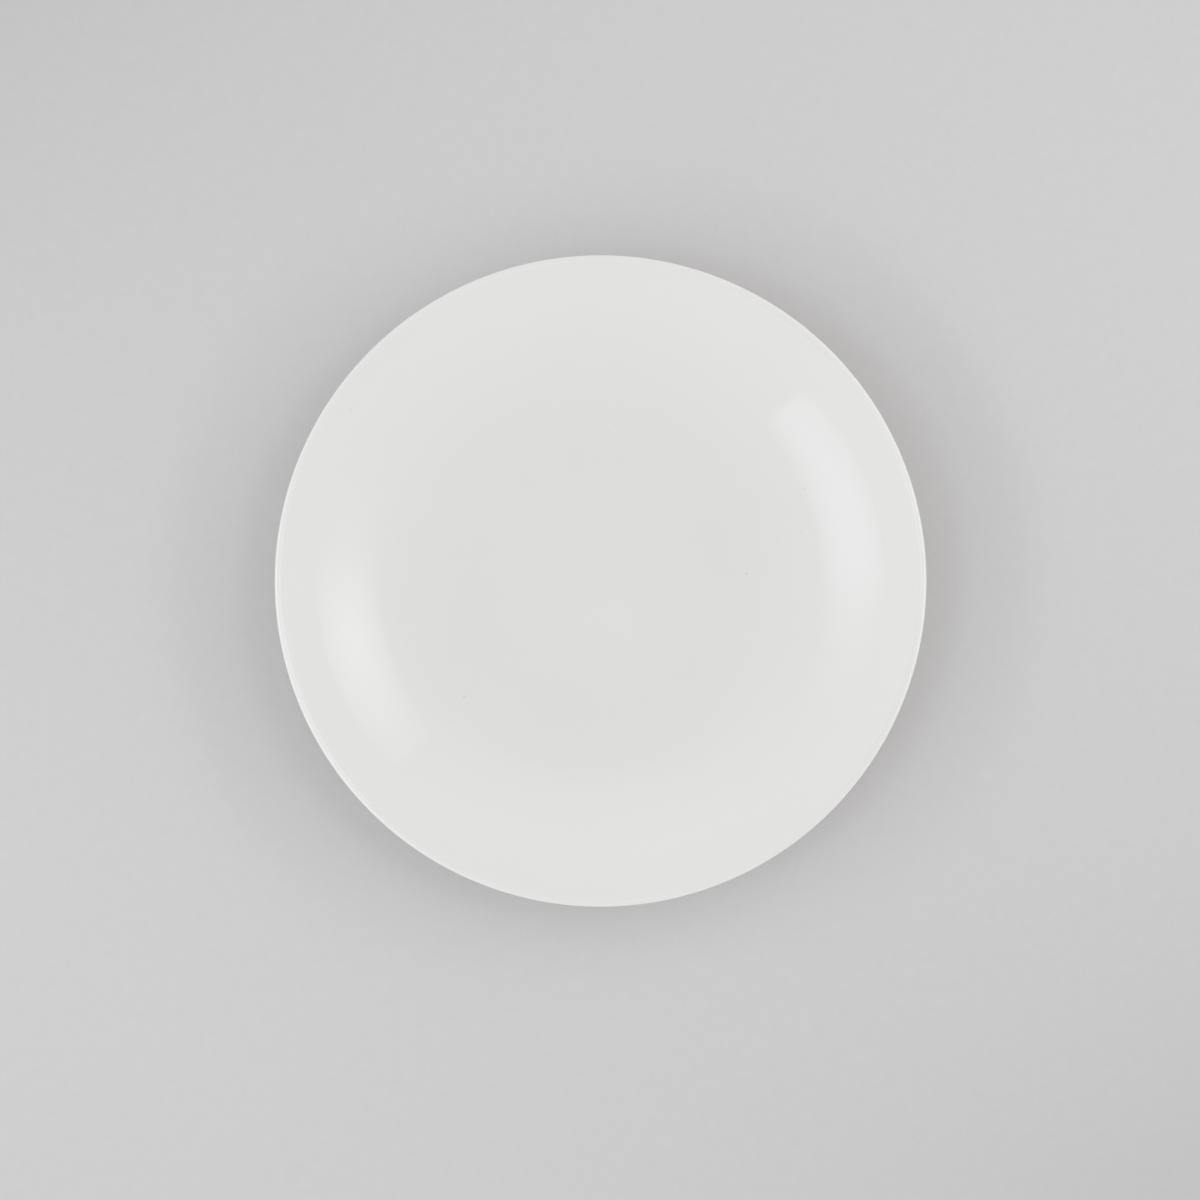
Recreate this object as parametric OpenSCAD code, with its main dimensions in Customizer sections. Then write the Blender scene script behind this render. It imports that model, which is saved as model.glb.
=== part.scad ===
// Coupe dinner plate: a fired china body with an integral foot ring, and the glaze that coats it.
// The plate stands on z = 0 and is turned about the Z axis. All lengths are in millimetres.
// Plate sizes are those of the finished, glazed plate. Foot ring sizes are those of the bare china.

/* [Plate] */
// Diameter across the rim
plate_d = 270; // [250:1:300]
// Height of the rim above the table
plate_h = 30; // [26:0.5:34]
// Diameter of the flat well, where the wall starts to sweep up
well_d = 104; // [88:1:118]

/* [Thickness] */
// Thickness of the well
well_t = 4.6; // [3.6:0.1:6]
// Thickness of the rim, which ends in a full round
rim_t = 2.8; // [1.8:0.1:3.6]

/* [Foot ring] */
// Diameter of the foot ring, at the middle of the land that it stands on
foot_d = 146; // [138:1:156]
// Width of the flat land
foot_land = 2.2; // [1.2:0.1:4]
// How far inside the foot ring's middle the underside starts to sweep up
foot_shoulder = 21; // [14:1:28]
// Height of the flat, glazed middle of the underside above the table
foot_h = 2.8; // [2.4:0.1:4.5]
// Angle of the foot ring's sides from the vertical, in degrees
foot_draft = 14; // [6:1:22]
// Rounding of the land's two edges
foot_edge_r = 0.5; // [0.3:0.05:0.7]
// Fillet where the foot ring's sides meet the plate
foot_root_r = 1; // [0.6:0.05:1.2]

/* [Glaze] */
// Thickness of the glaze
glaze_t = 0.25; // [0.15:0.01:0.35]
// Height above the table at which the glaze was wiped off the foot ring
bare_h = 0.9; // [0.75:0.05:1.1]

/* [Hidden] */

// Largest distance between a curve and the chords that draw it
chord_error = 0.005;
// Largest turn from one chord to the next, in degrees
chord_turn = 10;
// Sides of a turned surface
turn_sides = 240;

china_colour = [0.93, 0.91, 0.87];
glaze_colour = [0.96, 0.96, 0.95];

plate_r = plate_d / 2;
well_r = well_d / 2;
foot_r = foot_d / 2;
lip_r = rim_t / 2;
well_z = foot_h + well_t;

function unit(angle) = [cos(angle), sin(angle)];
function bearing(from, to) = atan2(to[1] - from[1], to[0] - from[0]);

// Radius of an arc that leaves the horizontal at the point start and meets the lip's circle,
// rolling over it on the eating side (side = 1) or passing beneath it on the underside (side = -1)
function sweep_radius(start, lip, side) =
    let (run = lip[0] - start[0], rise = lip[1] - start[1])
    (run * run + rise * rise - lip_r * lip_r) / (2 * (rise + side * lip_r));

// The lip: a full round between the eating side and the underside
lip_c = [plate_r - lip_r, plate_h - lip_r];

// The wall's eating side sweeps up from the edge of the flat well
wall_r = sweep_radius([well_r, well_z], lip_c, 1);
wall_c = [well_r, well_z + wall_r];
wall_end = bearing(wall_c, lip_c);

// The underside sweeps up from inside the foot ring, which hangs from it
under_start = [foot_r - foot_shoulder, foot_h];
under_r = sweep_radius(under_start, lip_c, -1);
under_c = under_start + [0, under_r];
under_end = bearing(under_c, lip_c);

// The foot ring's land edges, and how far from their centres the glazed sides would lie
edge_outer_c = [foot_r + foot_land / 2, foot_edge_r];
edge_inner_c = [foot_r - foot_land / 2, foot_edge_r];
edge_glazed_r = foot_edge_r + glaze_t;

// The outward normals of the foot ring's two drafted sides
outer_side = -foot_draft;
inner_side = foot_draft - 180;

// Each root fillet touches the underside's sweep and one side of the ring. This is the direction
// of its centre from the sweep's centre (turn = -1 outside the ring, 1 inside it).
function root_bearing(edge_c, side, turn) =
    let (reach = unit(side) * (edge_c - under_c) + edge_glazed_r + foot_root_r)
    side + turn * acos(reach / (under_r + foot_root_r));

root_outer_turn = root_bearing(edge_outer_c, outer_side, -1);
root_inner_turn = root_bearing(edge_inner_c, inner_side, 1);
root_outer_c = under_c + (under_r + foot_root_r) * unit(root_outer_turn);
root_inner_c = under_c + (under_r + foot_root_r) * unit(root_inner_turn);

// An arc is [centre, radius at the glazed surface, inset sign, first angle, last angle].
// Going inwards from the glazed surface, a hollow's radius grows (1) and a round's shrinks (-1).
wall_arc = [wall_c, wall_r, 1, -90, wall_end];
lip_arc = [lip_c, lip_r, -1, wall_end + 180, under_end];
under_arc = [under_c, under_r, -1, under_end, root_outer_turn];
root_outer_arc = [root_outer_c, foot_root_r, 1, root_outer_turn + 180, outer_side + 180];
edge_outer_arc = [edge_outer_c, edge_glazed_r, -1, outer_side, -90];
edge_inner_arc = [edge_inner_c, edge_glazed_r, -1, -90, inner_side];
root_inner_arc = [root_inner_c, foot_root_r, 1, inner_side + 180, root_inner_turn + 180];
recess_arc = [under_c, under_r, -1, root_inner_turn, -90];

// The arcs in order round the section: the outer coat's, the bare land's and the recess coat's
outer_arcs = [wall_arc, lip_arc, under_arc, root_outer_arc];
land_arcs = [edge_outer_arc, edge_inner_arc];
recess_arcs = [root_inner_arc, recess_arc];

// Points along one arc, at a depth below the glazed surface. The steps follow the glazed radius,
// so that the same arc has the same steps at every depth.
function arc_points(arc, depth) =
    let (
        centre = arc[0],
        radius = arc[1] + arc[2] * depth,
        turn = arc[4] - arc[3],
        step = min(chord_turn, 2 * acos(1 - min(1, chord_error / arc[1]))),
        steps = ceil(abs(turn) / step)
    )
    [for (i = [0:steps]) centre + radius * unit(arc[3] + turn * i / steps)];

function path_points(arcs, depth) = [for (arc = arcs) each arc_points(arc, depth)];

function reversed(points) = [for (i = [len(points) - 1:-1:0]) points[i]];

// Where the glaze stops on a side of the foot ring: a half round as thick as the coat
function glaze_end_centre(edge_c, side) =
    let (reach = foot_edge_r + glaze_t / 2, rise = bare_h - edge_c[1])
    [edge_c[0] + (reach - rise * unit(side)[1]) / unit(side)[0], bare_h];

function glaze_end(edge_c, side, first, last) =
    arc_points([glaze_end_centre(edge_c, side), glaze_t / 2, 0, first, last], 0);

// The flat of the well and the flat of the recess, at the axis
function well_axis(depth) = [[0, well_z - depth]];
function recess_axis(depth) = [[0, foot_h + depth]];

module turned(points) {
    rotate_extrude($fn = turn_sides) polygon(points);
}

// The fired china: well, wall, lip and foot ring in one piece, bare where it stands
module china_body() {
    color(china_colour) turned(concat(
        well_axis(glaze_t),
        path_points(outer_arcs, glaze_t),
        path_points(land_arcs, glaze_t),
        path_points(recess_arcs, glaze_t),
        recess_axis(glaze_t)
    ));
}

// The coat over the eating side, the lip and the underside, down to the wiped foot ring
module outer_glaze() {
    color(glaze_colour) turned(concat(
        well_axis(0),
        path_points(outer_arcs, 0),
        glaze_end(edge_outer_c, outer_side, outer_side, outer_side - 180),
        reversed(path_points(outer_arcs, glaze_t)),
        well_axis(glaze_t)
    ));
}

// The coat inside the foot ring, parted from the other by the bare land
module recess_glaze() {
    color(glaze_colour) turned(concat(
        glaze_end(edge_inner_c, inner_side, inner_side + 180, inner_side),
        path_points(recess_arcs, 0),
        recess_axis(0),
        recess_axis(glaze_t),
        reversed(path_points(recess_arcs, glaze_t))
    ));
}

china_body();
outer_glaze();
recess_glaze();
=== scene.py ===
# %% [markdown]
# # A coupe dinner plate
# A coupe plate has no separate rim. Its flat well sweeps straight up into the wall, and the wall
# ends in a thin lip. Under the well stands a low foot ring.
# The lesson turns one profile into three pieces: the fired china, the glaze that coats it, and the
# patch of glaze inside the foot ring. Most of the rest is light, because a white glossy plate on
# pale paper shows little but the lamps that it mirrors.

# %% Load the measured plate
import math
import bpy
import numpy as np
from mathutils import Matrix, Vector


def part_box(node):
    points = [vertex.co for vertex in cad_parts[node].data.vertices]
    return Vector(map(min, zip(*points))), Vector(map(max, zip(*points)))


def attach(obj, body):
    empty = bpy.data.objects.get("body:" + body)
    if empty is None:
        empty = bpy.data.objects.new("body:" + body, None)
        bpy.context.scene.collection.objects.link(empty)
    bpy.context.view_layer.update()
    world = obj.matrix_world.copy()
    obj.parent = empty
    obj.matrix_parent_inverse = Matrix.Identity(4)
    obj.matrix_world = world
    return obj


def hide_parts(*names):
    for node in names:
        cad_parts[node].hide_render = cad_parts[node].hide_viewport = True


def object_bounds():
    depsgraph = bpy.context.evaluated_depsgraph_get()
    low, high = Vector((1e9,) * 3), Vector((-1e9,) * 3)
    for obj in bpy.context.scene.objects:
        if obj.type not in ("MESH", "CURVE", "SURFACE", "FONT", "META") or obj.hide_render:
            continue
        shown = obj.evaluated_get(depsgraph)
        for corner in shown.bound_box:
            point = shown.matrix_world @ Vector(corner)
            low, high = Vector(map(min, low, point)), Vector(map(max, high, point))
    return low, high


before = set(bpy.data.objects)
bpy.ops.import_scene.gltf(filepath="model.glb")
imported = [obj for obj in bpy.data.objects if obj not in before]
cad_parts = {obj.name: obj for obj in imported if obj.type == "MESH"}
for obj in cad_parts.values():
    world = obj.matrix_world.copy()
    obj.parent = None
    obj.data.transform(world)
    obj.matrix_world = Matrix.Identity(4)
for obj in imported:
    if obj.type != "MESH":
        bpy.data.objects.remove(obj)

MM = 0.001

cad_low, cad_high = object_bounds()
print("measured plate, in mm:", [round(size / MM, 2) for size in cad_high - cad_low])

# %% [markdown]
# ## Sizes
# The measured solids give the sizes that fix the outside: the rim, the height and the glaze. The few
# that they don't show by themselves are typed in where they are first needed, in metres, as a potter
# would take them off a drawing.

# %% Sizes
plate_r = cad_high.x
plate_h = cad_high.z
glaze_t = plate_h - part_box("china_body")[1].z
bare_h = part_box("outer_glaze")[0].z + glaze_t / 2

well_r = 52 * MM
well_t = 4.6 * MM
foot_h = 2.8 * MM
well_z = foot_h + well_t

print("glaze", round(glaze_t / MM, 3), "mm thick; it stops", round(bare_h / MM, 3), "mm up the foot")

# %% [markdown]
# ## The profile
# A turned pot is one profile carried round an axis. This profile is made of arcs that run into each
# other without a kink: the wall's hollow sweep, the lip, the underside's sweep, and the small
# fillets of the foot ring. A Bezier curve drawn by hand could follow them too, but arcs have radii
# that can be measured on a real plate, and they can be worked out exactly.
# Each arc is kept as its centre, its radius at the glazed surface and its two angles. The china's
# own profile is the same set of arcs, a glaze's thickness further in, so both surfaces stay parallel.
# The underside comes first, because the rest leans on it. It leaves the flat of the recess some way
# inside the foot ring and rises in one shallow arc, which would just touch a plain round lip.

# %% The underside, an arc that leaves a flat and meets a round
def unit(angle):
    return np.array([math.cos(angle), math.sin(angle)])


def sweep(start, round_c, round_r, side):
    """Centre, radius and last angle of an arc that leaves start level and meets a round.

    It rolls over the round where side is 1, and passes beneath it where side is -1.
    """
    run, rise = round_c - start
    radius = (run**2 + rise**2 - round_r**2) / (2 * (rise + side * round_r))
    centre = start + np.array([0, radius])
    to_round = round_c - centre
    return centre, radius, math.atan2(to_round[1], to_round[0])


foot_r = 73 * MM
foot_shoulder = 21 * MM
lip_r = 1.4 * MM

under_start = np.array([foot_r - foot_shoulder, foot_h])
lip_c = np.array([plate_r - lip_r, plate_h - lip_r])
under_c, under_radius, _ = sweep(under_start, lip_c, lip_r, -1)
print("underside: sweeps up on a radius of", round(under_radius / MM, 1), "mm")

# %% [markdown]
# ## The lip and the wall
# A lip that is pressed and sponged is seldom a plain round. This one leans outwards on top: a tight
# crest where the wall ends, a wide brow that falls away from it, and a small nose at the rim. The
# brow matters most, because it carries the bright line that runs round a white plate.
# The wall is worked out last, since it aims at the crest. Smooth shading blends the directions of
# neighbouring faces, so a long face beside a tight round would mirror the room as if it were bent.
# A short step at the wall's top keeps the reflections true right up to the crest.

# %% The lip and the wall
crest_r = 1.3 * MM
crest_end = math.radians(78)
brow_r = 7.0 * MM
nose_r = 0.9 * MM
short_step = 0.3 * MM

# the nose touches the underside from within, and stands out as far as the rim
nose_x = plate_r - nose_r
nose_drop = math.sqrt((under_radius - nose_r)**2 - (nose_x - under_c[0])**2)
nose_c = np.array([nose_x, under_c[1] - nose_drop])
under_end = math.atan2(-nose_drop, nose_x - under_c[0])

# the brow touches the nose and the crest, and the crest stands as high as the plate
brow_z = plate_h - crest_r - (brow_r - crest_r) * math.sin(crest_end)
brow_end = math.asin((nose_c[1] - brow_z) / (brow_r - nose_r))
brow_c = nose_c - (brow_r - nose_r) * unit(brow_end)
crest_c = brow_c + (brow_r - crest_r) * unit(crest_end)

straight_down = -math.pi / 2
wall_c, wall_radius, wall_end = sweep(np.array([well_r, well_z]), crest_c, crest_r, 1)
wall_step = short_step / wall_radius

# centre, radius at the glazed surface, first angle, last angle; a hollow turns to the left
wall = (wall_c, wall_radius, straight_down, wall_end - wall_step)
wall_top = (wall_c, wall_radius, wall_end - wall_step, wall_end)
crest = (crest_c, crest_r, wall_end + math.pi, crest_end)
brow = (brow_c, brow_r, crest_end, brow_end)
nose = (nose_c, nose_r, brow_end, under_end)
print("wall sweeps up on a radius of", round(wall_radius / MM, 1), "mm and stands",
      round(math.degrees(wall_end - straight_down), 1), "degrees steep at the lip")

# %% [markdown]
# ## The foot ring
# The ring is part of the same clay. Its sides are drafted so that it leaves the mould, it stands on
# a narrow flat land with rounded edges, and a fillet joins each side to the underside. A Bevel
# modifier could round these corners, but it would round them on every piece alike. Worked out as
# arcs, they stay parallel in the china and in the glaze.

# %% The foot ring
foot_land = 2.2 * MM
foot_edge_r = 0.5 * MM
foot_root_r = 1.0 * MM
foot_draft = math.radians(14)

outer_side = -foot_draft
inner_side = foot_draft - math.pi
edge_outer_c = np.array([foot_r + foot_land / 2, foot_edge_r])
edge_inner_c = np.array([foot_r - foot_land / 2, foot_edge_r])
edge_radius = foot_edge_r + glaze_t


def root_fillet(edge_c, side, turn):
    """Centre of the fillet between the underside and one side of the ring, and its bearing."""
    reach = under_radius + foot_root_r
    across = unit(side) @ (edge_c - under_c) + edge_radius + foot_root_r
    bearing = side + turn * math.acos(across / reach)
    return under_c + reach * unit(bearing), bearing


root_outer_c, outer_bearing = root_fillet(edge_outer_c, outer_side, -1)
root_inner_c, inner_bearing = root_fillet(edge_inner_c, inner_side, 1)

underside = (under_c, under_radius, under_end, outer_bearing)
root_outer = (root_outer_c, foot_root_r, outer_bearing + math.pi, outer_side + math.pi)
edge_outer = (edge_outer_c, edge_radius, outer_side, straight_down)
edge_inner = (edge_inner_c, edge_radius, straight_down, inner_side)
root_inner = (root_inner_c, foot_root_r, inner_side + math.pi, inner_bearing + math.pi)
recess_sweep = (under_c, under_radius, inner_bearing, straight_down)
print("foot ring:", round(2 * foot_r / MM), "mm across, on a land", round(foot_land / MM, 1), "mm wide")

# %% [markdown]
# ## From arcs to points
# Arcs become points only here. A big sweep takes a point every 1.5 mm and a small round one every
# 7.5 degrees, so that both look smooth. Long flats get points too, because the glaze's ripples need
# something to move.

# %% From arcs to a line of points
point_gap = 1.5 * MM
point_turn = math.radians(7.5)
flat_gap = 3.5 * MM
same_place = 0.001 * MM


def arc_points(arc, depth):
    """Points along one arc, at a depth below the glazed surface.

    Going in, a hollow's radius grows and a round's shrinks.
    """
    centre, radius, first, last = arc
    step = min(point_turn, point_gap / radius)
    count = math.ceil(abs(last - first) / step)
    radius += math.copysign(depth, last - first)
    return [centre + radius * unit(angle) for angle in np.linspace(first, last, count + 1)]


def profile_points(arcs, depth):
    return [point for arc in arcs for point in arc_points(arc, depth)]


def with_flats(points):
    """The same line, with no gap longer than flat_gap and no point twice."""
    line = [points[0]]
    for point in points[1:]:
        gap = np.linalg.norm(point - line[-1])
        if gap > same_place:
            steps = math.ceil(gap / flat_gap)
            start = line[-1]
            line += [start + (point - start) * step / steps for step in range(1, steps + 1)]
    return line


print("points on the wall:", len(arc_points(wall, 0)))

# %% [markdown]
# ## Three outlines
# The potter wipes the foot with a wet sponge before firing, and surface tension rounds the edge
# where the glaze stops. So each coat ends in a half round as thick as the coat, a little way up the
# side of the ring. Every outline starts and ends on the axis, so it turns into a closed piece: the
# china runs from the well round the lip to the recess, and a coat runs out along one of its faces
# and back along the other.

# %% Three outlines
def glaze_end(edge_c, side, first):
    """The half round in which the coat stops on one side of the foot ring."""
    run = foot_edge_r + glaze_t / 2
    rise = bare_h - edge_c[1]
    centre = np.array([edge_c[0] + (run - rise * unit(side)[1]) / unit(side)[0], bare_h])
    return arc_points((centre, glaze_t / 2, first, first - math.pi), 0)


def on_axis(height):
    return [np.array([0.0, height])]


outer_arcs = [wall, wall_top, crest, brow, nose, underside, root_outer]
land_arcs = [edge_outer, edge_inner]
recess_arcs = [root_inner, recess_sweep]

china_line = with_flats(
    on_axis(well_z - glaze_t)
    + profile_points(outer_arcs + land_arcs + recess_arcs, glaze_t)
    + on_axis(foot_h + glaze_t)
)
coat_line = with_flats(
    on_axis(well_z)
    + profile_points(outer_arcs, 0)
    + glaze_end(edge_outer_c, outer_side, outer_side)
    + profile_points(outer_arcs, glaze_t)[::-1]
    + on_axis(well_z - glaze_t)
)
recess_line = with_flats(
    on_axis(foot_h + glaze_t)
    + profile_points(recess_arcs, glaze_t)[::-1]
    + glaze_end(edge_inner_c, inner_side, inner_side + math.pi)
    + profile_points(recess_arcs, 0)
    + on_axis(foot_h)
)
print("points in the profiles:", len(china_line), len(coat_line), len(recess_line))

# %% [markdown]
# ## The wheel
# A lathe in Geometry Nodes: a grid with one row for each point of the profile and one column for
# each step round the axis. Every grid point looks up its profile point and is set on its circle.
# The Spin tool would do this too, but a tree keeps the sizes as named inputs, and the kiln's work
# can be added in the same place. The inputs come first.

# %% The lathe's inputs
lathe_inputs = [
    ("Profile", "NodeSocketGeometry"),
    ("Sides", "NodeSocketInt"),
    ("Calm radius", "NodeSocketFloat"),
    ("Lip radius", "NodeSocketFloat"),
    ("Oval", "NodeSocketFloat"),
    ("Oval angle", "NodeSocketFloat"),
    ("Lip dip", "NodeSocketFloat"),
    ("Ripple depth", "NodeSocketFloat"),
    ("Ripple width", "NodeSocketFloat"),
    ("Seed", "NodeSocketFloat"),
    ("Finish", "NodeSocketMaterial"),
]
lathe = bpy.data.node_groups.new("lathe", "GeometryNodeTree")
for name, kind in lathe_inputs:
    lathe.interface.new_socket(name, in_out="INPUT", socket_type=kind)
lathe.interface.new_socket("Pot", in_out="OUTPUT", socket_type="NodeSocketGeometry")
given = lathe.nodes.new("NodeGroupInput").outputs
print("lathe inputs:", ", ".join(name for name, kind in lathe_inputs))

# %% [markdown]
# ## Node helpers
# Geometry and shader trees are both lists of nodes with wires between them, so one helper serves
# both. Each input is a socket to wire up, a value to type in, or None to leave as it is.

# %% One helper for every node
def put(tree, kind, *inputs, **settings):
    node = tree.nodes.new(kind)
    for name, value in settings.items():
        setattr(node, name, value)
    for socket, given in zip(node.inputs, inputs):
        if isinstance(given, bpy.types.NodeSocket):
            tree.links.new(given, socket)
        elif given is not None:
            socket.default_value = given
    return node


def math_of(tree, operation, *inputs):
    return put(tree, "ShaderNodeMath", *inputs, operation=operation).outputs[0]


# %% [markdown]
# ## Rows and columns
# A grid numbers its points along one row after another. A point's number, divided by the number of
# columns, says which row it is in, and what is left over says which column. The row picks the point
# of the profile, and the column gives the angle. The grid's own size doesn't matter, because every
# point is moved.

# %% The grid on the wheel
def on_lathe(operation, *inputs):
    return math_of(lathe, operation, *inputs)


rows = put(lathe, "GeometryNodeAttributeDomainSize", given["Profile"]).outputs["Point Count"]
columns = on_lathe("ADD", given["Sides"], 1)
grid = put(lathe, "GeometryNodeMeshGrid", 1, 1, rows, columns).outputs["Mesh"]
index = put(lathe, "GeometryNodeInputIndex").outputs[0]
# the added half keeps the division clear of the next lower row
row = on_lathe("FLOOR", on_lathe("DIVIDE", on_lathe("ADD", index, 0.5), columns))
column = on_lathe("SUBTRACT", index, on_lathe("MULTIPLY", row, columns))
angle = on_lathe("DIVIDE", on_lathe("MULTIPLY", column, 2 * math.pi), given["Sides"])

place = put(lathe, "GeometryNodeInputPosition").outputs[0]
lookup = put(lathe, "GeometryNodeSampleIndex", data_type="FLOAT_VECTOR", domain="POINT")
for socket, source in zip(lookup.inputs, (given["Profile"], place, row)):
    lathe.links.new(source, socket)
radius, _, height = put(lathe, "ShaderNodeSeparateXYZ", lookup.outputs[0]).outputs
print("lathe so far:", len(lathe.nodes), "nodes")

# %% [markdown]
# ## The kiln
# A plate is never quite true after firing. Its foot ring holds the middle, but the wall comes out a
# little oval, and its lip dips here and there. Two slow waves round the axis make the dips. Moving
# points by hand with proportional editing would look as good, but waves give the same plate on
# every run. All of it goes inwards or down, so the plate stays within its measured size.

# %% What the kiln does
dip_waves = 3
sway_waves = 2

share = put(lathe, "ShaderNodeMapRange", radius, given["Calm radius"], given["Lip radius"],
            interpolation_type="SMOOTHSTEP").outputs[0]
lean = on_lathe("SINE", on_lathe("SUBTRACT", angle, given["Oval angle"]))
squeeze = on_lathe("MULTIPLY", lean, lean)
pull = on_lathe("MULTIPLY", on_lathe("MULTIPLY", given["Oval"], share), squeeze)

# the two waves add up to between -2 and 2, so the dip is a share from 0 to 1
wave = on_lathe("SINE", on_lathe("MULTIPLY_ADD", angle, dip_waves, given["Seed"]))
sway = on_lathe("SINE", on_lathe("MULTIPLY_ADD", angle, sway_waves, given["Oval angle"]))
dip = on_lathe("MULTIPLY_ADD", on_lathe("ADD", wave, sway), 0.25, 0.5)
drop = on_lathe("MULTIPLY", on_lathe("MULTIPLY", given["Lip dip"], share), dip)

radius = on_lathe("SUBTRACT", radius, pull)
height = on_lathe("SUBTRACT", height, drop)
print("the kiln's waves:", dip_waves, "and", sway_waves, "round the lip")

# %% [markdown]
# ## Round the axis
# Each point goes out along its angle. The first and last columns fall on the same line and the
# points on the axis on the same spot, so Merge by Distance joins them and closes the piece.
# The melted glaze also settles in faint ripples. A noise pushes each point inwards, against its own
# direction. Realize Instances and Set Material come last, because the export keeps plain meshes only.

# %% The finished lathe
seam_gap = 0.002 * MM

across = on_lathe("MULTIPLY", radius, on_lathe("COSINE", angle))
along = on_lathe("MULTIPLY", radius, on_lathe("SINE", angle))
turned = put(lathe, "ShaderNodeCombineXYZ", across, along, height).outputs[0]
pot = put(lathe, "GeometryNodeSetPosition", grid, None, turned).outputs[0]
joined = put(lathe, "GeometryNodeMergeByDistance", pot)
joined.inputs["Distance"].default_value = seam_gap

where = put(lathe, "GeometryNodeInputPosition").outputs[0]
fineness = on_lathe("DIVIDE", 1, given["Ripple width"])
ripple = put(lathe, "ShaderNodeTexNoise", where, given["Seed"], fineness, 1,
             noise_dimensions="4D").outputs[0]
depth = on_lathe("MULTIPLY", ripple, on_lathe("MULTIPLY", given["Ripple depth"], -1))
facing = put(lathe, "GeometryNodeInputNormal").outputs["Normal"]
inwards = put(lathe, "ShaderNodeVectorMath", facing, None, None, depth, operation="SCALE").outputs[0]
pot = put(lathe, "GeometryNodeSetPosition", joined.outputs[0], None, None, inwards).outputs[0]

pot = put(lathe, "GeometryNodeSetShadeSmooth", pot).outputs[0]
pot = put(lathe, "GeometryNodeRealizeInstances", pot).outputs[0]
pot = put(lathe, "GeometryNodeSetMaterial", pot, None, given["Finish"]).outputs[0]
lathe.links.new(pot, lathe.nodes.new("NodeGroupOutput").inputs[0])
print("lathe tree:", len(lathe.nodes), "nodes")

# %% [markdown]
# ## Turning a piece
# The tree runs on a throwaway object that holds the profile. Its inputs are set by the sockets'
# identifiers, and the evaluated result is copied out as a plain mesh, so that no modifier is left.

# %% Turning a piece
kiln = {
    "Sides": 300,
    "Calm radius": foot_r + 4 * MM,
    "Lip radius": plate_r,
    "Oval": 0.1 * MM,
    "Oval angle": math.radians(20),
    "Lip dip": 0.3 * MM,
    "Ripple width": 16 * MM,
    "Seed": 3.7,
}
print("the kiln moves the lip by up to", round(kiln["Oval"] / MM, 2), "mm inwards and",
      round(kiln["Lip dip"] / MM, 2), "mm down")


def turn(name, line, finish, ripple_depth):
    """A closed piece turned from a profile line of (radius, height) points."""
    profile = bpy.data.meshes.new(name + "_profile")
    points = [(radius, 0, height) for radius, height in line]
    profile.from_pydata(points, [(i, i + 1) for i in range(len(points) - 1)], [])
    blank = bpy.data.objects.new(name + "_blank", profile)
    bpy.context.scene.collection.objects.link(blank)
    modifier = blank.modifiers.new("lathe", "NODES")
    modifier.node_group = lathe
    values = dict(kiln, Finish=finish, **{"Ripple depth": ripple_depth})
    for item in lathe.interface.items_tree:
        if item.in_out == "INPUT" and item.name in values:
            modifier[item.identifier] = values[item.name]
    ready = blank.evaluated_get(bpy.context.evaluated_depsgraph_get())
    piece = bpy.data.objects.new(name, bpy.data.meshes.new_from_object(ready))
    piece.data.name = name
    bpy.context.scene.collection.objects.link(piece)
    bpy.data.objects.remove(blank)
    print(name, len(piece.data.polygons), "faces")
    return piece


# %% [markdown]
# ## Finishes
# Every finish starts from Object coordinates, so its pattern sticks to the piece wherever the camera
# stands. Four helpers do the repeated work: mixing two colours, starting a material, making a noise
# whose width is given in metres, and raising a bump from it.

# %% Helpers for finishes
# a Mix node has sockets for every kind of value, and these are the ones for colours
mix_inputs = (0, 6, 7)
mix_output = 2


def colour_mix(tree, factor, below, above, blend="MIX"):
    node = put(tree, "ShaderNodeMix", data_type="RGBA", blend_type=blend)
    for number, given in zip(mix_inputs, (factor, below, above)):
        if isinstance(given, bpy.types.NodeSocket):
            tree.links.new(given, node.inputs[number])
        else:
            node.inputs[number].default_value = given
    return node.outputs[mix_output]


def new_finish(name):
    finish = bpy.data.materials.new(name)
    finish.use_nodes = True
    tree = finish.node_tree
    shader = tree.nodes["Principled BSDF"]
    place = put(tree, "ShaderNodeTexCoord").outputs["Object"]
    return finish, tree, shader, place


def noise_at(tree, place, width, detail=2.0, roughness=0.5):
    return put(tree, "ShaderNodeTexNoise", place, None, 1 / width, detail, roughness).outputs[0]


def raised(tree, shader, height, depth):
    """A bump as deep as depth where height goes from 0 to 1."""
    bump = put(tree, "ShaderNodeBump")
    bump.inputs["Distance"].default_value = depth
    tree.links.new(height, bump.inputs["Height"])
    tree.links.new(bump.outputs[0], shader.inputs["Normal"])


# %% [markdown]
# ## Specks
# The kiln leaves a few specks of ash in the glaze, each at its own place. They could be small dark
# discs laid on the plate, but they lie in the glass and not on it, so they are part of its colour.
# Each one darkens what is near one point in space, with a soft edge.

# %% Specks in the glaze
speck_r = 0.42 * MM
speck_edge = 0.25 * MM
speck_cover = 0.3
ash = (0.25, 0.23, 0.2, 1)
speck_places = [(-103.5, 71.2), (5.9, 65.6), (85.7, 38.8), (84.3, 20.9), (61.5, 3.2), (-57.4, -48.6)]
speck_depths = [0.5, 0.3, 0.5, 0.35, 0.9, 0.8]


def wall_height(radius):
    run = max(0.0, radius - well_r)
    return wall_c[1] - math.sqrt(wall_radius**2 - run**2)


def speckled(tree, place, tone):
    for (x, y), depth in zip(speck_places, speck_depths):
        spot = (x * MM, y * MM, wall_height(math.hypot(x, y) * MM))
        away = put(tree, "ShaderNodeVectorMath", place, spot, operation="DISTANCE").outputs["Value"]
        near = put(tree, "ShaderNodeMapRange", away, speck_r + speck_edge, speck_r - speck_edge, 0,
                   depth * speck_cover).outputs[0]
        tone = colour_mix(tree, near, tone, ash)
    return tone


print("specks:", len(speck_places), "about", round(2 * speck_r / MM, 2), "mm across")

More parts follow.
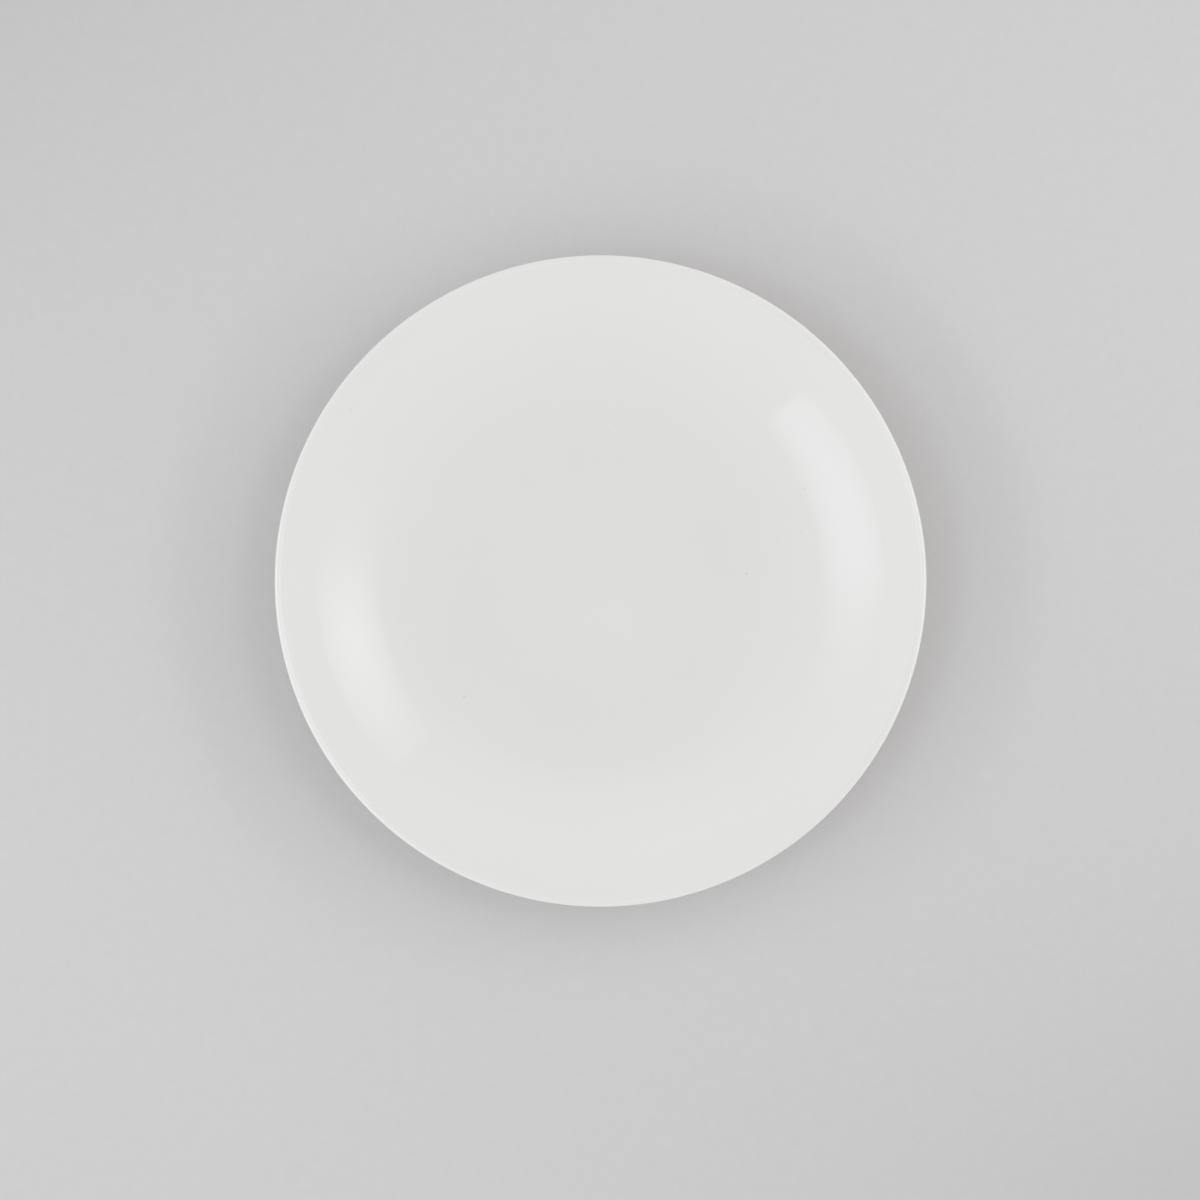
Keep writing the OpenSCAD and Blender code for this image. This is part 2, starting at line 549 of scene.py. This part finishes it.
# %% [markdown]
# ## White glaze
# A glaze is a skin of glass over white clay. The clay scatters the light and gives the plate its
# tone, and the glass mirrors the room at about four parts in a hundred. Both live in one Principled
# shader: Base Color is the clay, IOR the glass. A Glass shader over a clay mesh would be nearer to
# the real thing, but it would be slow and noisy for a skin a quarter of a millimetre thick.
# The tone clouds a little, wiping leaves some parts glossier than others, and the surface has a
# faint orange peel, because the glass froze before it could level out.

# %% White glaze
glaze_shaded = (0.799, 0.797, 0.779, 1)
glaze_bright = (0.811, 0.809, 0.791, 1)
glaze_ior = 1.52
glaze_rough = (0.01, 0.03)
cloud_width = 45 * MM
wipe_width = 30 * MM
peel_width = 3.5 * MM
peel_depth = 0.0015 * MM


def glaze_finish():
    finish, tree, shader, place = new_finish("white_glaze")
    tone = colour_mix(tree, noise_at(tree, place, cloud_width), glaze_shaded, glaze_bright)
    tree.links.new(speckled(tree, place, tone), shader.inputs["Base Color"])
    shader.inputs["IOR"].default_value = glaze_ior
    wipe = noise_at(tree, place, wipe_width)
    rough = put(tree, "ShaderNodeMapRange", wipe, 0, 1, *glaze_rough).outputs[0]
    tree.links.new(rough, shader.inputs["Roughness"])
    raised(tree, shader, noise_at(tree, place, peel_width, detail=1.0), peel_depth)
    return finish


white_glaze = glaze_finish()
print("glaze:", len(white_glaze.node_tree.nodes), "nodes")

# %% [markdown]
# ## Bare china
# Only the wiped foot of the ring shows the body itself. Vitrified china without glaze is
# off-white, dry and finely grained, and it takes up a grey rub from every shelf it slides over. The
# wear could be painted on by hand, but it is found by height here, because a shelf rubs only what
# touches it: it is strongest on the land and gone half a millimetre further up.

# %% Bare china
clay_dark = (0.64, 0.61, 0.55, 1)
clay_pale = (0.76, 0.73, 0.67, 1)
shelf_grey = (0.42, 0.41, 0.4, 1)
clay_ior = 1.45
clay_rough = 0.8
grain_width = 0.4 * MM
grain_depth = 0.04 * MM
rub_width = 5 * MM
rub_height = 0.5 * MM
rub_most = 0.6


def china_finish():
    finish, tree, shader, place = new_finish("bare_china")
    grain = noise_at(tree, place, grain_width, detail=3.0, roughness=0.6)
    clay = colour_mix(tree, grain, clay_dark, clay_pale)
    height = put(tree, "ShaderNodeSeparateXYZ", place).outputs["Z"]
    worn = put(tree, "ShaderNodeMapRange", height, rub_height, 0, 0, rub_most).outputs[0]
    patches = noise_at(tree, place, rub_width, detail=4.0, roughness=0.6)
    rub = math_of(tree, "MULTIPLY", worn, patches)
    tree.links.new(colour_mix(tree, rub, clay, shelf_grey), shader.inputs["Base Color"])
    shader.inputs["Roughness"].default_value = clay_rough
    shader.inputs["IOR"].default_value = clay_ior
    raised(tree, shader, grain, grain_depth)
    return finish


bare_china = china_finish()
print("china:", len(bare_china.node_tree.nodes), "nodes")

# %% [markdown]
# ## Three pieces
# The same wheel turns all three. Only the coat gets ripples, at most two hundredths of a millimetre
# deep: too little to see by themselves, but enough to sway the reflections of the lamps. Every piece
# then rides on the plate's one body, and the measured solid that it stands for is hidden.

# %% Turn the three pieces
coat_ripple = 0.02 * MM

china = turn("fired_china", china_line, bare_china, 0.0)
coat = turn("glaze_coat", coat_line, white_glaze, coat_ripple)
recess = turn("recess_patch", recess_line, white_glaze, 0.0)

for piece, node, slot in [(china, "china_body", "china"), (coat, "outer_glaze", "glaze"),
                          (recess, "recess_glaze", "glaze")]:
    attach(piece, "root")
    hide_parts(node)

# %% [markdown]
# ## Paper
# The plate lies on a wide sheet of pale paper. Light and shade are painted into its colour: two
# opposite corners get a painted pool of light, where the sheet bows towards the lamps, and all the
# edges of the picture get painted shade, a little darker than the middle. The sheet could be bent and
# lit until it looked like this. Here the painted light and shade are worked out from the place on the
# sheet, which is easier to match, and they even out beyond the picture.

# %% Tone of the paper
picture_half = 0.255
fade_from = 1.5 * picture_half
fade_to = 8 * picture_half
# painted light in two opposite corners, and painted shade towards the corners, sides and ends
painted_corner_light = 0.058
painted_corner_shade = 0.02
painted_side_shade = 0.012
painted_end_shade = 0.05


def paper_painted_light(tree, place):
    """Painted light and shade on the sheet, as a brightness factor, 1 under the plate."""
    x, y, _ = put(tree, "ShaderNodeSeparateXYZ", place).outputs
    across = put(tree, "ShaderNodeMapRange", x, -picture_half, picture_half, -1, 1).outputs[0]
    along = put(tree, "ShaderNodeMapRange", y, -picture_half, picture_half, -1, 1).outputs[0]
    corner = math_of(tree, "MULTIPLY", across, along)
    # painted light in two opposite corners
    corner_light = math_of(tree, "MULTIPLY", corner, painted_corner_light)
    # painted shade towards the corners, the sides and the ends of the picture
    corners = math_of(tree, "MULTIPLY", math_of(tree, "MULTIPLY", corner, corner), painted_corner_shade)
    sides = math_of(tree, "MULTIPLY", math_of(tree, "MULTIPLY", across, across), painted_side_shade)
    ends = math_of(tree, "MULTIPLY", math_of(tree, "MULTIPLY", along, along), painted_end_shade)
    painted_shade = math_of(tree, "ADD", math_of(tree, "ADD", corners, sides), ends)
    away = put(tree, "ShaderNodeVectorMath", place, operation="LENGTH").outputs["Value"]
    fade = put(tree, "ShaderNodeMapRange", away, fade_to, fade_from,
               interpolation_type="SMOOTHSTEP").outputs[0]
    change = math_of(tree, "MULTIPLY", math_of(tree, "SUBTRACT", corner_light, painted_shade), fade)
    return math_of(tree, "ADD", change, 1)


# the paper's painted light and painted shade
print("paper tone: the bow adds up to", painted_corner_light, "in two corners, and the edges lose up to",
      round(painted_corner_shade + painted_side_shade + painted_end_shade, 3))

# %% [markdown]
# The sheet itself is one big face, a hair's breadth below the foot ring, so that paper and china never
# lie in the same plane. Its fine mottle is a noise with much small detail, as pressed fibres have,
# and the finish is dry, with next to no shine.

# %% Paper floor
paper_dark = (0.642, 0.631, 0.633, 1)
paper_pale = (0.702, 0.691, 0.693, 1)
fibre_width = 6 * MM
paper_rough = 0.95
paper_shine = 0.2
floor_half = 6.0
floor_z = -0.02 * MM


def paper_finish():
    finish, tree, shader, place = new_finish("grey_paper")
    fibre = noise_at(tree, place, fibre_width, detail=4.0, roughness=0.9)
    tone = colour_mix(tree, fibre, paper_dark, paper_pale)
    # the painted light and shade multiply the paper's own mottled colour
    tone = colour_mix(tree, 1.0, tone, paper_painted_light(tree, place), "MULTIPLY")
    tree.links.new(tone, shader.inputs["Base Color"])
    shader.inputs["Roughness"].default_value = paper_rough
    shader.inputs["Specular IOR Level"].default_value = paper_shine
    return finish


floor_mesh = bpy.data.meshes.new("paper")
floor_mesh.from_pydata([(x * floor_half, y * floor_half, floor_z)
                        for x, y in [(-1, -1), (1, -1), (1, 1), (-1, 1)]], [], [(0, 1, 2, 3)])
floor_mesh.materials.append(paper_finish())
paper = bpy.data.objects.new("paper_floor", floor_mesh)
bpy.context.scene.collection.objects.link(paper)
print("paper:", 2 * floor_half, "m square")

# %% [markdown]
# ## The studio
# A glossy plate mirrors its surroundings, so the shapes of the lights matter as much as their
# strength. Two softboxes hang to the left and right, and pale walls give back a broad light from
# both sides. Area lamps could stand for the boxes, but they end in hard straight edges on every
# side. Here the world is painted by direction instead: its brightness depends on the tilt away from
# straight up and on the compass bearing, both in degrees. The bearing is 0 on the right of the
# picture and 90 at its top.

# %% Directions
world = bpy.data.worlds.new("studio")
world.use_nodes = True
bpy.context.scene.world = world
sky = world.node_tree
ray = put(sky, "ShaderNodeTexCoord").outputs["Generated"]
ray_x, ray_y, ray_z = put(sky, "ShaderNodeSeparateXYZ", ray).outputs
tilt = math_of(sky, "DEGREES", math_of(sky, "ARCCOSINE", ray_z))
compass = math_of(sky, "DEGREES", math_of(sky, "ARCTAN2", ray_y, ray_x))


def bearing_from(middle):
    """Degrees round from middle, between -180 and 180."""
    return math_of(sky, "WRAP", math_of(sky, "SUBTRACT", compass, middle), 180, -180)


def curve_through(value, points):
    """A line through (value, share) points, level beyond both ends."""
    first, last = points[0][0], points[-1][0]
    share = put(sky, "ShaderNodeMapRange", value, first, last).outputs[0]
    node = put(sky, "ShaderNodeFloatCurve", None, share)
    line = node.mapping.curves[0].points
    line[0].location = (0, points[0][1])
    line[1].location = (1, points[-1][1])
    for at, height in points[1:-1]:
        line.new((at - first) / (last - first), height)
    for point in line:
        point.handle_type = "VECTOR"
    node.mapping.update()
    return node.outputs[0]


print("directions:", len(sky.nodes), "nodes")

# %% [markdown]
# ## Softboxes
# A softbox is brightest where its lamp stands behind the cloth and falls off towards its edges. From
# the plate's place each box is a band in the sky, about 36 degrees away from straight up and 19
# degrees wide, which bellies out in the middle. One curve says how bright it is across the band and
# another how bright it is along it, and the two are multiplied. The boxes aren't alike along the
# band, so each has its own curve for that.

# %% Softboxes
box_tilt = 36.0
box_half = 9.55
belly = 0.18
belly_reach = 31
box_across = [(-1, 0), (-0.96, 0.33), (-0.5, 0.82), (-0.12, 1), (0.1, 1), (0.5, 0.75),
              (0.95, 0.36), (1, 0)]
left_along = [(-50, 0), (-38, 0.12), (-30, 0.25), (-24, 0.38), (-16, 0.62), (-10, 0.9), (-6, 1),
              (6, 1), (14, 0.88), (22, 0.78), (30.5, 0.68), (31.5, 0)]
right_along = [(-40, 0), (-31, 0.15), (-23, 0.25), (-19, 0.4), (-11, 0.76), (-7, 0.9), (-3, 1),
               (2, 1), (9, 0.81), (17, 0.61), (21, 0.42), (27.4, 0.32), (28.2, 0)]


def softbox(middle, along):
    """A box that bellies out in the middle and is hottest there."""
    round_from = bearing_from(middle)
    narrowing = math_of(sky, "MULTIPLY", round_from, round_from)
    width = math_of(sky, "MULTIPLY_ADD", narrowing, -belly / belly_reach**2, 1)
    offset = math_of(sky, "SUBTRACT", tilt, box_tilt)
    across = math_of(sky, "DIVIDE", offset, math_of(sky, "MULTIPLY", width, box_half))
    return math_of(sky, "MULTIPLY", curve_through(across, box_across), curve_through(round_from, along))


left_box = softbox(middle=192, along=left_along)
right_box = softbox(middle=15, along=right_along)
print("softboxes: from", round(box_tilt - box_half, 1), "to", round(box_tilt + box_half, 1),
      "degrees away from straight up")

# %% [markdown]
# ## Walls, window and room
# The walls stand behind the boxes, lower in the sky, and they light the lip and the paper beside it.
# A faint window hangs at the top of the picture. The room itself is dim overhead and brightest near
# the horizon, and right above the plate a round patch of it is darker still.

# %% Walls, window and room
wall_tilts = [(56, 0), (59.5, 1), (64, 1), (68, 0.1), (90, 0.1)]
wall_spread = [(-60, 0), (-20, 1), (20, 1), (60, 0)]
window_tilts = [(19, 0), (24, 1), (40, 1), (50, 0)]
room_tilts = [(0, 0.35), (48, 0.35), (54, 0.315), (74, 0.315), (80, 1), (86, 1), (90, 0)]
patch_edge = [(18, 0.65), (19, 1)]
patch_lean = math.radians(3.5)


def side_wall(middle, tilts):
    return math_of(sky, "MULTIPLY", curve_through(tilt, tilts),
                   curve_through(bearing_from(middle), wall_spread))


left_wall = side_wall(middle=197, tilts=wall_tilts)
right_wall = side_wall(middle=12, tilts=wall_tilts)
window = side_wall(middle=90, tilts=window_tilts)

patch_middle = (math.sin(patch_lean), 0, math.cos(patch_lean))
towards = put(sky, "ShaderNodeVectorMath", ray, patch_middle, operation="DOT_PRODUCT")
from_patch = math_of(sky, "DEGREES", math_of(sky, "ARCCOSINE", towards.outputs["Value"]))
room = math_of(sky, "MULTIPLY", curve_through(tilt, room_tilts), curve_through(from_patch, patch_edge))
print("walls, window and room:", len(sky.nodes), "nodes so far")

# %% [markdown]
# ## Lamps
# Each shape now gets its strength and its colour. The boxes are a little blue, the left one more so,
# and the room is a trace warm. Light adds up, so one sky can hold them all.

# %% Lamps
def lamp(shape, strength, colour=(1, 1, 1)):
    """A light as bright as strength where its shape reaches 1."""
    level = math_of(sky, "MULTIPLY", shape, strength)
    return put(sky, "ShaderNodeVectorMath", colour, None, None, level, operation="SCALE").outputs[0]


lights = [
    lamp(left_box, strength=1.68, colour=(0.94, 0.96, 1.18)),
    lamp(right_box, strength=1.95, colour=(0.98, 0.99, 1.04)),
    lamp(left_wall, strength=3.24),
    lamp(right_wall, strength=2.88),
    lamp(window, strength=0.26),
    lamp(room, strength=1.85, colour=(1, 0.999, 0.986)),
]
light = lights[0]
for other in lights[1:]:
    light = put(sky, "ShaderNodeVectorMath", light, other, operation="ADD").outputs[0]
print("lights:", len(lights))

# %% [markdown]
# ## Backdrop
# The camera itself should see a plain backdrop rather than these painted lights, so the world shows
# camera rays one even tone, close to that of the lit paper. Every other ray meets the lights, because
# they are what the glaze mirrors.

# %% Backdrop
backdrop = (0.63, 0.615, 0.618, 1)
seen = put(sky, "ShaderNodeLightPath").outputs["Is Camera Ray"]
background = sky.nodes["Background"]
sky.links.new(colour_mix(sky, seen, light, backdrop), background.inputs["Color"])
background.inputs["Strength"].default_value = 1
print("studio:", len(lights), "lights in", len(sky.nodes), "nodes")

# %% [markdown]
# ## Camera
# The camera looks straight down. An orthographic camera would show the same circle, but a lens also
# spreads the reflections, so a long lens hangs well above the plate. The rim is a circle in the
# picture, and its radius and centre in pixels give the scale and the aim. The kiln drew the rim in a
# little, by a few hundredths of a millimetre on average, and the scale allows for that.

# %% Camera
lens = 85.0
sensor = 36.0
frame_px = 1200
rim_radius_px = 325.83
rim_centre_px = (600.59, 580.97)
drawn_in = 0.07 * MM

px = (plate_r - drawn_in) / rim_radius_px
aim_x = (frame_px / 2 - rim_centre_px[0]) * px
aim_y = (rim_centre_px[1] - frame_px / 2) * px
camera_data = bpy.data.cameras.new("camera")
camera_data.lens = lens
camera_data.sensor_width = sensor
camera = bpy.data.objects.new("camera", camera_data)
camera.location = (aim_x, aim_y, nose_c[1] + frame_px * px * lens / sensor)
bpy.context.scene.collection.objects.link(camera)
bpy.context.scene.camera = camera
bpy.context.scene.view_settings.view_transform = "Standard"
print("camera", round(camera.location.z, 3), "m up;", round(px / MM, 4), "mm a pixel at the rim")
